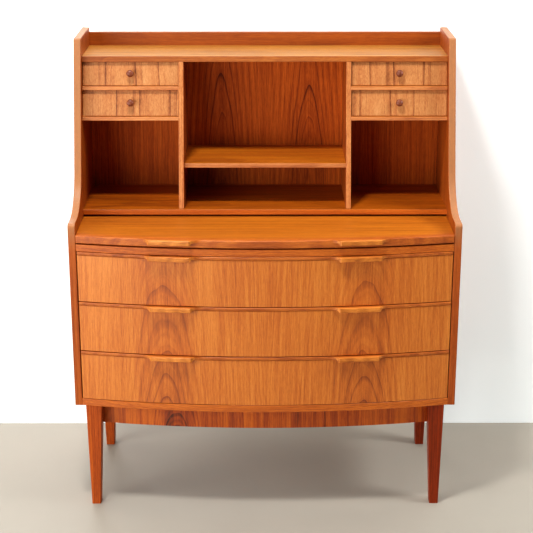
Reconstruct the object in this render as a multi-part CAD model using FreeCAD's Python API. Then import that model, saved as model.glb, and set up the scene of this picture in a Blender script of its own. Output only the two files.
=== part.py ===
import FreeCAD, Part
import math
import os

from FreeCAD import Vector

# Secretary desk in oiled teak: a chest of three bow-fronted drawers on a low
# tapered-leg base, a pull-out writing board above them, and an open hutch with
# four small drawers.  Millimetres, +Z up.  The front faces -Y.  The origin is on
# the floor, under the middle of the desk's whole width and depth.

os.makedirs("parts", exist_ok=True)

# ---------------------------------------------------------------- whole desk
overall_width = 1000.0
overall_height = 1211.0
panel_depth = 460.0          # side panel, lower front edge to back edge
panel_thickness = 19.0
leg_height = 288.0
slide_gap = 0.3              # running clearance under a piece that slides

# ---------------------------------------------------------------- bowed front
bow_height = 48.5            # how far the front swells out at its middle
lip_proud = 1.5              # lip strips and writing board stand this proud
arris = 1.5                  # hand-rounded edges

# ---------------------------------------------------------------- chest
bottom_thickness = 19.5
back_thickness = 6.0
back_face = 427.4            # front face of the back panels
board_back = 447.0           # back edge of the bottom board and hutch floor
rail_bottom = 713.3
rail_height = 18.4
rail_depth = 45.0

# ---------------------------------------------------------------- writing board
board_top = 755.4
board_thickness = 20.0
board_side_gap = 0.6
board_edge_depth = 22.0
board_rear = 424.0
board_travel = 200.0
guide_width = 15.0
guide_height = 20.0
stop_length = 20.0
stop_width = 30.0
stop_height = 14.0
stop_x = 430.0
stop_clearance = 1.0

# ---------------------------------------------------------------- long drawers
drawer_levels = ["lower", "middle", "top"]
front_gap = 2.0              # between one drawer front and the next
front_side_gap = 2.0
front_thickness = 17.0
strip_height = 9.5
box_side_gap = 1.0
box_side_thickness = 12.0
box_side_height = 102.0
box_lift = 8.0               # underside of the sides above the front's lower edge
box_rear = 412.0
box_back_thickness = 12.0
box_back_drop = 10.0
bottom_panel_thickness = 5.0
bottom_panel_lift = 7.0
panel_tongue = 5.0           # how far a drawer bottom enters its grooves
runner_front = 25.0
runner_rear = 420.0
runner_height = 14.0
runner_reach = 7.2
runner_lift = 60.0
groove_clearance = 0.5
groove_end = 22.0

# ---------------------------------------------------------------- finger grips
grip_centre = 241.0
grip_lip_half = 50.0
grip_wing = 30.0             # each end blends back to the strip over this length
grip_reach = 13.0
grip_height = 12.5

# ---------------------------------------------------------------- hutch
hutch_floor_top = 774.2
hutch_floor_thickness = 13.9
hutch_floor_front = 170.0
hutch_lean = 0.2515          # the hutch front leans back this much per unit height
hutch_foot = 177.2           # where that lean meets the hutch floor
top_board_top = 1163.4
top_board_thickness = 14.8
gallery_top = 1199.6
gallery_face = 449.0
gallery_thickness = 10.0
divider_inner = 214.4
divider_thickness = 13.2
centre_shelf_top = 888.7
centre_shelf_thickness = 12.0
centre_shelf_setback = 9.0
dust_board_tops = {"lower": 1009.3, "upper": 1086.6}
dust_board_thickness = 9.8

# ---------------------------------------------------------------- small drawers
small_gap = 0.8
small_top_gap = 1.4
small_setback = 8.0
small_front_thickness = 12.0
small_side_thickness = 7.0
small_side_drop = 9.0        # sides stop this far below the front's top edge
small_bottom_thickness = 4.0
small_bottom_lift = 3.0
small_rear = 412.0
knob_radius = 9.75
knob_length = 19.0

# ---------------------------------------------------------------- side profile
sill_top = 784.0
sill_corner = 10.0
sill_depth = 47.5
sweep_radius = 130.0
panel_top_front = 267.6
panel_top_corner = 6.0

# ---------------------------------------------------------------- base
leg_top_outer = 472.0
leg_top_inner = 430.0
leg_foot_outer = 466.0
leg_foot_inner = 442.6
leg_front_face = -3.0
leg_top_depth = 54.0
leg_foot_depth = 32.0
rear_leg_back = 397.0
leg_round = 2.5
apron_height = 65.0
apron_thickness = 16.0
front_apron_setback = 45.0
side_apron_inset = 6.0
rear_apron_inset = 6.0
block_leg = 80.0
block_height = 38.0
screw_head_radius = 4.0
screw_shank_radius = 2.0
screw_length = 48.0
screw_head_height = 2.6
screw_places = [(0.50, 0.16), (0.16, 0.50)]   # across and along a block, as shares of its legs

# ---------------------------------------------------------------- worked out
half_inside = overall_width / 2 - panel_thickness
bow_radius = (half_inside ** 2 + bow_height ** 2) / (2 * bow_height)


def bow_swell(x, offset):
    """Distance of the bowed surface, offset forwards, ahead of the side panels' edge."""
    radius = bow_radius + offset
    return bow_height - bow_radius + math.sqrt(radius ** 2 - x ** 2)


# The grips' inner ends are the foremost points, so they and the back edges of the
# side panels set the depth, and the origin lies halfway.
front_extent = bow_swell(grip_centre - grip_lip_half, grip_reach)
front_y = (front_extent - panel_depth) / 2
bow_axis = Vector(0, front_y - bow_height + bow_radius, 0)

bottom_top = leg_height + bottom_thickness
rail_top = rail_bottom + rail_height
board_bottom = board_top - board_thickness
hutch_floor_bottom = hutch_floor_top - hutch_floor_thickness
top_board_bottom = top_board_top - top_board_thickness
divider_outer = divider_inner + divider_thickness
drawer_pitch = (rail_bottom - bottom_top) / len(drawer_levels)
front_height = drawer_pitch - front_gap - strip_height
sides = {"left": -1, "right": 1}


# ---------------------------------------------------------------- helpers
def box(x0, x1, y0, y1, z0, z1):
    """Box between two corners; x may be given in either order, y counts from front_y."""
    low = Vector(min(x0, x1), front_y + y0, z0)
    return Part.makeBox(abs(x1 - x0), y1 - y0, z1 - z0, low)


def bow_point(x, offset):
    """Point of the bowed surface, offset forwards, at height zero."""
    return Vector(x, front_y - bow_swell(x, offset), 0)


def bow_arc(x0, x1, offset):
    """Arc edge along the bowed surface from x0 to x1."""
    middle = bow_point((x0 + x1) / 2, offset)
    return Part.Arc(bow_point(x0, offset), middle, bow_point(x1, offset)).toShape()


def prism(edges, z0, z1):
    """Solid standing on a closed plan outline between two heights."""
    face = Part.Face(Part.Wire(Part.__sortEdges__(edges)))
    face.translate(Vector(0, 0, z0))
    return face.extrude(Vector(0, 0, z1 - z0))


def bowed_board(half_width, offset, back, z0, z1):
    """Board with a bowed front edge and a straight back edge at depth back."""
    left, right = bow_point(-half_width, offset), bow_point(half_width, offset)
    rear_left = Vector(-half_width, front_y + back, 0)
    rear_right = Vector(half_width, front_y + back, 0)
    edges = [
        bow_arc(-half_width, half_width, offset),
        Part.makeLine(right, rear_right),
        Part.makeLine(rear_right, rear_left),
        Part.makeLine(rear_left, left),
    ]
    return prism(edges, z0, z1)


def bowed_band(half_width, offset, thickness, z0, z1):
    """Bent lamination that follows the bow, with its ends square to the side panels."""
    inner = offset - thickness
    edges = [
        bow_arc(-half_width, half_width, offset),
        Part.makeLine(bow_point(half_width, offset), bow_point(half_width, inner)),
        bow_arc(-half_width, half_width, inner),
        Part.makeLine(bow_point(-half_width, inner), bow_point(-half_width, offset)),
    ]
    return prism(edges, z0, z1)


def side_view_prism(outline, x0, x1):
    """Solid from a closed list of (depth, height) corners, drawn across from x0 to x1."""
    points = [Vector(x0, front_y + y, z) for y, z in outline]
    face = Part.Face(Part.makePolygon(points + points[:1]))
    return face.extrude(Vector(x1 - x0, 0, 0))


def lean(z, setback=0.0):
    """Depth of the hutch's leaning front at height z, set back by a further distance."""
    return hutch_foot + hutch_lean * (z - hutch_floor_top) + setback


def rounded(shape, radius, test):
    """Round the edges whose bounding box and shape pass the test."""
    return shape.makeFillet(radius, [edge for edge in shape.Edges if test(edge)])


def along_x_at_front(shape, depth):
    """Test for the long front edges of a board: they run across at the front."""
    limit = front_y + depth
    return lambda edge: edge.BoundBox.YMax < limit and edge.BoundBox.XLength > edge.BoundBox.ZLength


def turned_section(profile, half_angle, middle_angle):
    """Turn a section about the bow's axis, so that it follows the bowed front.

    The profile is a closed list of edges in the plane x = 0, and the angles are degrees.
    """
    face = Part.Face(Part.Wire(Part.__sortEdges__(profile)))
    face.rotate(bow_axis, Vector(0, 0, 1), middle_angle - half_angle)
    return face.revolve(bow_axis, Vector(0, 0, 1), 2 * half_angle)


def section_point(forward, z):
    """Point of a bow section: forward of the bowed surface, at height z."""
    return Vector(0, front_y - bow_height - forward, z)


def section_arc(start, through, end):
    return Part.Arc(section_point(*start), section_point(*through), section_point(*end)).toShape()


def section_line(start, end):
    return Part.makeLine(section_point(*start), section_point(*end))


def edge_strip(half_width, depth, top, height, round_top, round_bottom):
    """Solid-wood strip along the bow, with both front arrises rounded."""
    bottom = top - height
    cut = 1 - math.sqrt(0.5)
    face = lip_proud
    rear = lip_proud - depth
    profile = [
        section_line((rear, bottom), (rear, top)),
        section_line((rear, top), (face - round_top, top)),
        section_arc(
            (face - round_top, top),
            (face - round_top * cut, top - round_top * cut),
            (face, top - round_top),
        ),
        section_line((face, top - round_top), (face, bottom + round_bottom)),
        section_arc(
            (face, bottom + round_bottom),
            (face - round_bottom * cut, bottom + round_bottom * cut),
            (face - round_bottom, bottom),
        ),
        section_line((face - round_bottom, bottom), (rear, bottom)),
    ]
    over_length = math.degrees(math.asin((half_width + depth) / bow_radius))
    strip = turned_section(profile, over_length, 0.0)
    window = Part.makeBox(
        2 * half_width, 4 * bow_height, height + 2, Vector(-half_width, front_y - 2 * bow_height, bottom - 1)
    )
    return strip.common(window)


def finger_grip(top, centre):
    """Carved lip: flat on top, round-nosed, hollow beneath, with swept-back ends."""
    root = lip_proud - 3.0
    nose = 3.0
    hollow_depth = 7.0
    profile = [
        section_line((root, top - hollow_depth), (root, top)),
        section_line((root, top), (grip_reach - nose, top)),
        section_arc(
            (grip_reach - nose, top),
            (grip_reach - nose * (1 - math.sqrt(0.5)), top - nose * (1 - math.sqrt(0.5))),
            (grip_reach, top - nose),
        ),
        section_line((grip_reach, top - nose), (grip_reach - 0.5, top - grip_height + 1.4)),
        section_arc(
            (grip_reach - 0.5, top - grip_height + 1.4),
            (grip_reach - 1.6, top - grip_height),
            (grip_reach - 3.0, top - grip_height + 1.2),
        ),
        section_arc(
            (grip_reach - 3.0, top - grip_height + 1.2),
            (grip_reach - 5.2, top - hollow_depth - 1.2),
            (lip_proud + 1.5, top - hollow_depth),
        ),
        section_line((lip_proud + 1.5, top - hollow_depth), (root, top - hollow_depth)),
    ]
    grip_half = grip_lip_half + grip_wing
    middle_angle = math.degrees(math.asin(centre / bow_radius))
    half_angle = math.degrees(grip_half / bow_radius)
    grip = turned_section(profile, half_angle, middle_angle)

    # Each end is swept back by an upright cylinder that just bites into the strip's face.
    bite = 0.4
    rise = grip_reach - lip_proud + bite
    wing_radius = (grip_wing ** 2 + rise ** 2) / (2 * rise)
    for end in (-1, 1):
        angle = math.asin(centre / bow_radius) + end * grip_half / bow_radius
        distance = bow_radius + lip_proud - bite + wing_radius
        aside = Vector(distance * math.sin(angle), -distance * math.cos(angle), 0)
        foot = bow_axis + aside + Vector(0, 0, top - 2 * grip_height)
        grip = grip.cut(Part.makeCylinder(wing_radius, 3 * grip_height, foot))
    return grip


def with_grips(strip, top):
    """Strip with its two finger grips worked in one piece."""
    grips = [finger_grip(top, side * grip_centre) for side in sides.values()]
    return strip.fuse(grips).removeSplitter()


def save(name, *solids):
    """Write one sub-part; identical or joined pieces may be several solids."""
    shape = solids[0] if len(solids) == 1 else Part.makeCompound(list(solids))
    assert all(solid.isValid() for solid in shape.Solids), name
    shape.exportStep("parts/" + name + ".step")


# ---------------------------------------------------------------- side panels
def side_panel(sign):
    """Upright panel: square below, with a sill at the writing board and a swept, leaning top."""
    outer = sign * overall_width / 2
    lean_angle = math.atan2(panel_top_front - sill_depth - sweep_radius, overall_height - sill_top)
    # The leaning edge leaves the sweep as a tangent, found by a few fixed-point steps.
    for _ in range(40):
        touch_y = sill_depth + sweep_radius * math.cos(lean_angle)
        touch_z = sill_top + sweep_radius - sweep_radius * math.sin(lean_angle)
        lean_angle = math.atan2(panel_top_front - touch_y, overall_height - touch_z)
    mid_turn = (math.pi / 2 + lean_angle) / 2

    def at(y, z):
        return Vector(outer, front_y + y, z)

    corner = sill_corner * (1 - math.sqrt(0.5))
    top_turn = panel_top_corner * math.tan((math.pi / 2 - lean_angle) / 2)
    lean_end = at(
        panel_top_front - top_turn * math.sin(lean_angle), overall_height - top_turn * math.cos(lean_angle)
    )
    top_start = at(panel_top_front + top_turn, overall_height)
    top_middle_angle = (math.pi / 2 - lean_angle) / 2 + lean_angle
    top_centre_y = panel_top_front + top_turn
    top_centre_z = overall_height - panel_top_corner
    top_middle = at(
        top_centre_y - panel_top_corner * math.cos(top_middle_angle),
        top_centre_z + panel_top_corner * math.sin(top_middle_angle),
    )
    sweep_middle = at(
        sill_depth + sweep_radius * math.cos(mid_turn),
        sill_top + sweep_radius - sweep_radius * math.sin(mid_turn),
    )
    edges = [
        Part.makeLine(at(0, leg_height), at(0, sill_top - sill_corner)),
        Part.Arc(
            at(0, sill_top - sill_corner), at(corner, sill_top - corner), at(sill_corner, sill_top)
        ).toShape(),
        Part.makeLine(at(sill_corner, sill_top), at(sill_depth, sill_top)),
        Part.Arc(at(sill_depth, sill_top), sweep_middle, at(touch_y, touch_z)).toShape(),
        Part.makeLine(at(touch_y, touch_z), lean_end),
        Part.Arc(lean_end, top_middle, top_start).toShape(),
        Part.makeLine(top_start, at(panel_depth, overall_height)),
        Part.makeLine(at(panel_depth, overall_height), at(panel_depth, leg_height)),
        Part.makeLine(at(panel_depth, leg_height), at(0, leg_height)),
    ]
    panel = Part.Face(Part.Wire(edges)).extrude(Vector(-sign * panel_thickness, 0, 0))
    rear = front_y + panel_depth - 1

    def shows(edge):
        box_ = edge.BoundBox
        return box_.XLength < 0.01 and box_.YMin < rear and box_.ZMax > leg_height + 1

    return rounded(panel, 2.0, shows)


# ---------------------------------------------------------------- chest
def bottom_board():
    board = bowed_board(half_inside, 0.5, board_back, leg_height, bottom_top)
    return rounded(board, arris, along_x_at_front(board, 1.0))


def front_rail():
    rail = bowed_band(half_inside, 0.0, rail_depth, rail_bottom, rail_top)
    return rounded(rail, 1.0, along_x_at_front(rail, 1.0))


def board_guide(sign):
    """Runner under the writing board, screwed to the side panel."""
    top = board_bottom - slide_gap
    front = rail_depth + 3
    inner = half_inside - guide_width
    return box(sign * half_inside, sign * inner, front, board_rear, top - guide_height, top)


def drawer_base(level):
    """Height of a long drawer's lower front edge."""
    return bottom_top + drawer_levels.index(level) * drawer_pitch + front_gap / 2


def drawer_runners(sign):
    """Hardwood strips that the long drawers' grooved sides hang on, one for each drawer."""
    inner = half_inside - runner_reach
    strips = []
    for level in drawer_levels:
        z = drawer_base(level) + box_lift + runner_lift
        strips.append(
            box(sign * half_inside, sign * inner, runner_front, runner_rear, z, z + runner_height)
        )
    return strips


def lower_back():
    rear = back_face + back_thickness
    return box(-half_inside, half_inside, back_face, rear, bottom_top, hutch_floor_bottom)


# ---------------------------------------------------------------- writing board
def writing_board():
    half_width = half_inside - board_side_gap
    inner_edge = lip_proud - board_edge_depth
    return bowed_board(half_width, inner_edge, board_rear, board_bottom, board_top)


def writing_board_edge():
    half_width = half_inside - board_side_gap
    strip = edge_strip(half_width, board_edge_depth, board_top, board_thickness, 3.0, 2.0)
    return with_grips(strip, board_top)


def writing_board_stops():
    """Blocks under the board that meet the rail's back when the board is fully out."""
    rail_back = -bow_swell(stop_x + stop_width / 2, -rail_depth)
    front = rail_back + board_travel + stop_clearance
    return [
        box(
            sign * (stop_x - stop_width / 2),
            sign * (stop_x + stop_width / 2),
            front,
            front + stop_length,
            board_bottom - stop_height,
            board_bottom,
        )
        for sign in sides.values()
    ]


# ---------------------------------------------------------------- long drawers
def long_drawer_bottom(base):
    z = base + box_lift + bottom_panel_lift
    half_width = half_inside - box_side_gap - box_side_thickness + panel_tongue
    front_offset = panel_tongue - front_thickness
    return bowed_board(half_width, front_offset, box_rear, z, z + bottom_panel_thickness)


def long_drawer_front(base, bottom):
    half_width = half_inside - front_side_gap
    front = bowed_band(half_width, 0.0, front_thickness, base, base + front_height)
    front = rounded(front, 0.8, along_x_at_front(front, 1.0))
    return front.cut(bottom)


def long_drawer_strip(base):
    top = base + front_height + strip_height
    half_width = half_inside - front_side_gap
    strip = edge_strip(half_width, front_thickness + lip_proud, top, strip_height, 2.5, 3.5)
    return with_grips(strip, top)


def long_drawer_sides(base, bottom, front):
    """Two grooved sides, shaped to the back of the bowed front, and the back between them."""
    outer = half_inside - box_side_gap
    inner = outer - box_side_thickness
    low = base + box_lift
    high = low + box_side_height
    groove_low = low + runner_lift - groove_clearance
    groove_high = groove_low + runner_height + 2 * groove_clearance
    groove_floor = half_inside - runner_reach - groove_clearance
    pieces = []
    for sign in sides.values():
        side = box(sign * inner, sign * outer, front_thickness / 2, box_rear, low, high)
        groove = box(
            sign * groove_floor, sign * half_inside, groove_end, box_rear + 1, groove_low, groove_high
        )
        pieces.append(side.cut(groove).cut(bottom).cut(front))
    bottom_top_z = low + bottom_panel_lift + bottom_panel_thickness
    rear_front = box_rear - box_back_thickness
    pieces.append(box(-inner, inner, rear_front, box_rear, bottom_top_z, high - box_back_drop))
    return pieces


# ---------------------------------------------------------------- hutch
def hutch_floor():
    floor = box(
        -half_inside, half_inside, hutch_floor_front, board_back, hutch_floor_bottom, hutch_floor_top
    )
    return rounded(floor, arris, along_x_at_front(floor, hutch_floor_front + 1))


def leaning_board(x0, x1, z0, z1, back, round_radius=1.2):
    """Level board or upright whose front edge follows the hutch's lean."""
    outline = [(lean(z0), z0), (lean(z1), z1), (back, z1), (back, z0)]
    board = side_view_prism(outline, x0, x1)

    def on_front(edge):
        points = [vertex.Point for vertex in edge.Vertexes]
        return all(abs(p.y - front_y - lean(p.z)) < 0.01 for p in points)

    return rounded(board, round_radius, on_front)


def top_board():
    return leaning_board(-half_inside, half_inside, top_board_bottom, top_board_top, gallery_face)


def gallery_rail():
    rear = gallery_face + gallery_thickness
    rail = box(-half_inside, half_inside, gallery_face, rear, top_board_bottom, gallery_top)

    def top_edge(edge):
        return edge.BoundBox.ZMin > gallery_top - 1 and edge.BoundBox.XLength > 1

    return rounded(rail, 2.0, top_edge)


def divider(sign):
    return leaning_board(
        sign * divider_inner, sign * divider_outer, hutch_floor_top, top_board_bottom, back_face
    )


def dust_board(sign, row):
    top = dust_board_tops[row]
    return leaning_board(sign * divider_outer, sign * half_inside, top - dust_board_thickness, top, back_face)


def centre_shelf():
    low = centre_shelf_top - centre_shelf_thickness
    front = lean(centre_shelf_top) + centre_shelf_setback
    shelf = box(-divider_inner, divider_inner, front, back_face, low, centre_shelf_top)
    return rounded(shelf, 1.2, along_x_at_front(shelf, front + 1))


def hutch_back():
    rear = back_face + back_thickness
    return box(-half_inside, half_inside, back_face, rear, hutch_floor_top, top_board_bottom)


# ---------------------------------------------------------------- small drawers
def small_drawer_heights(row):
    """Lower and upper edge of a small drawer's front."""
    ceiling = top_board_bottom
    if row == "lower":
        ceiling = dust_board_tops["upper"] - dust_board_thickness
    return dust_board_tops[row] + small_gap, ceiling - small_top_gap


def small_drawer_front(sign, row):
    low, high = small_drawer_heights(row)
    near = small_setback
    far = small_setback + small_front_thickness
    outline = [
        (lean(low, near), low),
        (lean(high, near), high),
        (lean(high, far), high),
        (lean(low, far), low),
    ]
    front = side_view_prism(outline, sign * (divider_outer + small_gap), sign * (half_inside - small_gap))

    def on_face(edge):
        points = [vertex.Point for vertex in edge.Vertexes]
        return all(abs(p.y - front_y - lean(p.z, near)) < 0.01 for p in points)

    return rounded(front, 0.8, on_face)


def small_drawer_box(sign, row):
    """Thin sides, a back and a bottom between them."""
    front_low, front_high = small_drawer_heights(row)
    low = dust_board_tops[row] + slide_gap
    high = front_high - small_side_drop
    far = small_setback + small_front_thickness
    near_x = divider_outer + small_gap
    far_x = half_inside - small_gap
    outline = [(lean(low, far), low), (lean(high, far), high), (small_rear, high), (small_rear, low)]
    inner_near = near_x + small_side_thickness
    inner_far = far_x - small_side_thickness
    bottom_low = low + small_bottom_lift
    bottom_high = bottom_low + small_bottom_thickness
    bottom_outline = [
        (lean(bottom_low, far), bottom_low),
        (lean(bottom_high, far), bottom_high),
        (small_rear, bottom_high),
        (small_rear, bottom_low),
    ]
    rear_front = small_rear - small_side_thickness
    return [
        side_view_prism(outline, sign * near_x, sign * inner_near),
        side_view_prism(outline, sign * inner_far, sign * far_x),
        box(sign * inner_near, sign * inner_far, rear_front, small_rear, bottom_high, high),
        side_view_prism(bottom_outline, sign * inner_near, sign * inner_far),
    ]


def knob(sign, row):
    """Turned knob, square to the leaning drawer front at its middle."""
    def at(radius, height):
        return Vector(radius * knob_radius, 0, height * knob_length)

    def arc(start, through, end):
        return Part.Arc(at(*start), at(*through), at(*end)).toShape()

    foot, waist, shoulder, crown, face = (0.64, 0), (0.56, 0.25), (0.92, 0.45), (0.90, 0.82), (0.3, 1.0)
    profile = [
        Part.makeLine(at(0, 0), at(*foot)),
        arc(foot, waist, shoulder),
        arc(shoulder, (1.0, 0.65), crown),
        arc(crown, (0.68, 0.94), face),
        Part.makeLine(at(*face), at(0, 1)),
        Part.makeLine(at(0, 1), at(0, 0)),
    ]
    turned = Part.Face(Part.Wire(profile)).revolve(Vector(), Vector(0, 0, 1), 360)
    low, high = small_drawer_heights(row)
    middle = (low + high) / 2
    turned.rotate(Vector(), Vector(1, 0, 0), 90 - math.degrees(math.atan(hutch_lean)))
    centre_x = sign * (divider_outer + half_inside) / 2
    turned.translate(Vector(centre_x, front_y + lean(middle, small_setback), middle))
    return turned


# ---------------------------------------------------------------- base
def leg(sign, at_front):
    """Tapered square leg: straight on its outer long face, tapered inwards on the others."""
    if at_front:
        top_y = (leg_front_face, leg_front_face + leg_top_depth)
        foot_y = (leg_front_face, leg_front_face + leg_foot_depth)
    else:
        top_y = (rear_leg_back - leg_top_depth, rear_leg_back)
        foot_y = (rear_leg_back - leg_foot_depth, rear_leg_back)

    def ring(inner, outer, depths, z):
        near, far = (front_y + y for y in depths)
        corners = [(inner, near), (outer, near), (outer, far), (inner, far)]
        points = [Vector(sign * x, y, z) for x, y in corners]
        return Part.makePolygon(points + points[:1])

    foot = ring(leg_foot_inner, leg_foot_outer, foot_y, 0.0)
    top = ring(leg_top_inner, leg_top_outer, top_y, leg_height)
    solid = Part.makeLoft([foot, top], True, True)
    return rounded(solid, leg_round, lambda edge: edge.BoundBox.ZLength > leg_height / 2)


def base_pieces():
    """Legs, aprons, corner blocks and screws, each trimmed to the pieces it butts against."""
    legs = {
        (place, side): leg(sign, place == "front")
        for place in ("front", "rear")
        for side, sign in sides.items()
    }
    low = leg_height - apron_height
    front = bowed_band(leg_foot_inner, -front_apron_setback, apron_thickness, low, leg_height)
    rear_far = rear_leg_back - rear_apron_inset
    rear = box(-leg_foot_inner, leg_foot_inner, rear_far - apron_thickness, rear_far, low, leg_height)
    for side in sides:
        front = front.cut(legs["front", side])
        rear = rear.cut(legs["rear", side])
    side_aprons = {}
    blocks = []
    screws = []
    side_start = leg_front_face + leg_foot_depth
    side_end = rear_leg_back - leg_foot_depth
    for side, sign in sides.items():
        outer = leg_top_outer - side_apron_inset
        inner = outer - apron_thickness
        apron = box(sign * inner, sign * outer, side_start, side_end, low, leg_height)
        apron = apron.cut(legs["front", side]).cut(legs["rear", side])
        side_aprons[side] = apron
        front_back = front_apron_setback + apron_thickness - bow_swell(inner, 0.0)
        corners = {"front": (front_back, 1), "rear": (rear_far - apron_thickness, -1)}
        for place, (depth, turn) in corners.items():
            outline = [(inner, depth), (inner, depth + turn * block_leg), (inner - block_leg, depth)]
            points = [Vector(sign * x, front_y + y, leg_height - block_height) for x, y in outline]
            block = Part.Face(Part.makePolygon(points + points[:1])).extrude(Vector(0, 0, block_height))
            for neighbour in (front, rear, apron, legs[place, side]):
                block = block.cut(neighbour)
            blocks.append(block)
            for share_x, share_y in screw_places:
                x = sign * (inner - block_leg * share_x)
                y = front_y + depth + turn * block_leg * share_y
                screws.append(countersunk_screw(x, y, leg_height - block_height))
    return legs, front, rear, side_aprons, blocks, screws


def countersunk_screw(x, y, z):
    """Wood screw driven upwards, its head flush with the underside at height z."""
    foot = Vector(x, y, z)
    head = Part.makeCone(screw_head_radius, screw_shank_radius, screw_head_height, foot)
    shank = Part.makeCylinder(screw_shank_radius, screw_length, foot)
    return head.fuse(shank).removeSplitter()


# ---------------------------------------------------------------- write the parts
for side, sign in sides.items():
    save("side_panel_" + side, side_panel(sign))
    save("board_guide_" + side, board_guide(sign))
    save("drawer_runners_" + side, *drawer_runners(sign))
    save("divider_" + side, divider(sign))
    for row in dust_board_tops:
        save("dust_board_" + side + "_" + row, dust_board(sign, row))
        name = "small_drawer_" + side + "_" + row
        save(name + "_front", small_drawer_front(sign, row))
        save(name + "_box", *small_drawer_box(sign, row))
        save(name + "_knob", knob(sign, row))

save("bottom_board", bottom_board())
save("front_rail", front_rail())
save("lower_back", lower_back())
save("hutch_floor", hutch_floor())
save("hutch_back", hutch_back())
save("top_board", top_board())
save("gallery_rail", gallery_rail())
save("centre_shelf", centre_shelf())

save("writing_board", writing_board())
save("writing_board_edge", writing_board_edge())
save("writing_board_stops", *writing_board_stops())

for level in drawer_levels:
    base = drawer_base(level)
    bottom = long_drawer_bottom(base)
    front = long_drawer_front(base, bottom)
    name = "long_drawer_" + level
    save(name + "_front", front)
    save(name + "_strip", long_drawer_strip(base))
    save(name + "_box", *long_drawer_sides(base, bottom, front))
    save(name + "_bottom", bottom)

legs, front_apron, rear_apron, side_aprons, corner_blocks, base_screws = base_pieces()
for (place, side), solid in legs.items():
    save("leg_" + place + "_" + side, solid)
save("front_apron", front_apron)
save("rear_apron", rear_apron)
for side, apron in side_aprons.items():
    save("side_apron_" + side, apron)
save("corner_blocks", *corner_blocks)
save("base_screws", *base_screws)
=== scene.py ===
import math

import bmesh
import bpy
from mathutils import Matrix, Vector


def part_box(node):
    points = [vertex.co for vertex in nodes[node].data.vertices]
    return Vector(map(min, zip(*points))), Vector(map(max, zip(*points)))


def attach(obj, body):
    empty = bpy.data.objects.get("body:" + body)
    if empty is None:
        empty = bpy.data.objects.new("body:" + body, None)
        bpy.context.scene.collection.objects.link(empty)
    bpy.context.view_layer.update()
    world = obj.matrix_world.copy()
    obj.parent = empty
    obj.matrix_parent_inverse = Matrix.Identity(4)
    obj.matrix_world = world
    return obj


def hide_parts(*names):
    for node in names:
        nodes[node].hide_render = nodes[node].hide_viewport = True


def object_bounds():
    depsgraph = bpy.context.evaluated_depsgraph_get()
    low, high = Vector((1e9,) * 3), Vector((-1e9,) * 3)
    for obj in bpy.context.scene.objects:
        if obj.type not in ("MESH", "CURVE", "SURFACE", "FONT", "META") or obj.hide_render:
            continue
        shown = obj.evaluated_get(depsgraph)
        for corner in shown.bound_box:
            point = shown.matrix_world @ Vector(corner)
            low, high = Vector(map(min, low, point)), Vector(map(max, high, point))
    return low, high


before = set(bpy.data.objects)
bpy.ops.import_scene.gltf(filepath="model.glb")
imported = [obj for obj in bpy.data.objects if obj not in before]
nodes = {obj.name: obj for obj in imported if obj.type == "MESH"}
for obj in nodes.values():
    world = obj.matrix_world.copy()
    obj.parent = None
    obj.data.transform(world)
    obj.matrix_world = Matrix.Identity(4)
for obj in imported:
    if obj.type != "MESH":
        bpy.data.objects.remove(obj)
cad_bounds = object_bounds()

MM = 0.001
CLOSE = 0.01 * MM                # places nearer together than this are one place
MERGE = 0.001 * MM
LEVELS = ("lower", "middle", "top")
SIDES = {"left": -1, "right": 1}
ROWS = ("lower", "upper")

# The bow: the front rail runs the whole way across between the side panels, and follows it.
panel_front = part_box("side_panel_left")[0].y
rail_low, rail_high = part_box("front_rail")
inside = rail_high.x
bow_front = rail_low.y
bow_height = panel_front - bow_front
bow_radius = (inside ** 2 + bow_height ** 2) / (2 * bow_height)
bow_axis = Vector((0, bow_front + bow_radius, 0))


# ---------------------------------------------------------------- colours and nodes
def linear(colour):
    """sRGB hex to linear RGBA."""
    channels = [int(colour[i:i + 2], 16) / 255 for i in (1, 3, 5)]
    return [c / 12.92 if c <= 0.04045 else ((c + 0.055) / 1.055) ** 2.4 for c in channels] + [1.0]


def grey(value):
    """Linear grey for the stops of a ramp that is read as a number."""
    return (value, value, value, 1.0)


def add(tree, kind, inputs=None, **settings):
    """Add one shader node with its settings, and set or link its inputs; a node links its first output."""
    node = tree.nodes.new("ShaderNode" + kind)
    for name, value in settings.items():
        setattr(node, name, value)
    for key, value in (inputs or {}).items():
        if isinstance(value, bpy.types.Node):
            value = value.outputs[0]
        if isinstance(value, bpy.types.NodeSocket):
            tree.links.new(value, node.inputs[key])
        else:
            node.inputs[key].default_value = value
    return node


def fill_ramp(ramp, stops):
    """Give a colour ramp its stops, as (position, RGBA)."""
    elements = ramp.color_ramp.elements
    while len(elements) < len(stops):
        elements.new(0.5)
    for element, (position, colour) in zip(elements, stops):
        element.position = position
        element.color = colour


def new_material(name):
    """An empty material and its node tree."""
    material = bpy.data.materials.new(name)
    material.use_nodes = True
    material.node_tree.nodes.clear()
    return material, material.node_tree


# ---------------------------------------------------------------- wood
# For each way the grain can run: the axes across it, through the thickness and along it.
AXES = {"x": ("Y", "Z", "X"), "y": ("X", "Z", "Y"), "z": ("X", "Y", "Z")}
SEED_STEP = (37.0, 91.0, 613.0)  # how far apart, in millimetres, two seeds lie in the tree

# Through one ring, as (place, darkness): it darkens slowly and ends in a sharp late-wood line.
RING = ((0.0, 0.30), (0.08, 0.0), (0.60, 0.12), (0.88, 0.75), (0.96, 1.0))
FEW_STRONG = 3.0                 # the higher, the fewer rings have a strong line
ARCH_CORE = 0.4                  # share of the arches' half width where the lines are strongest

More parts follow.
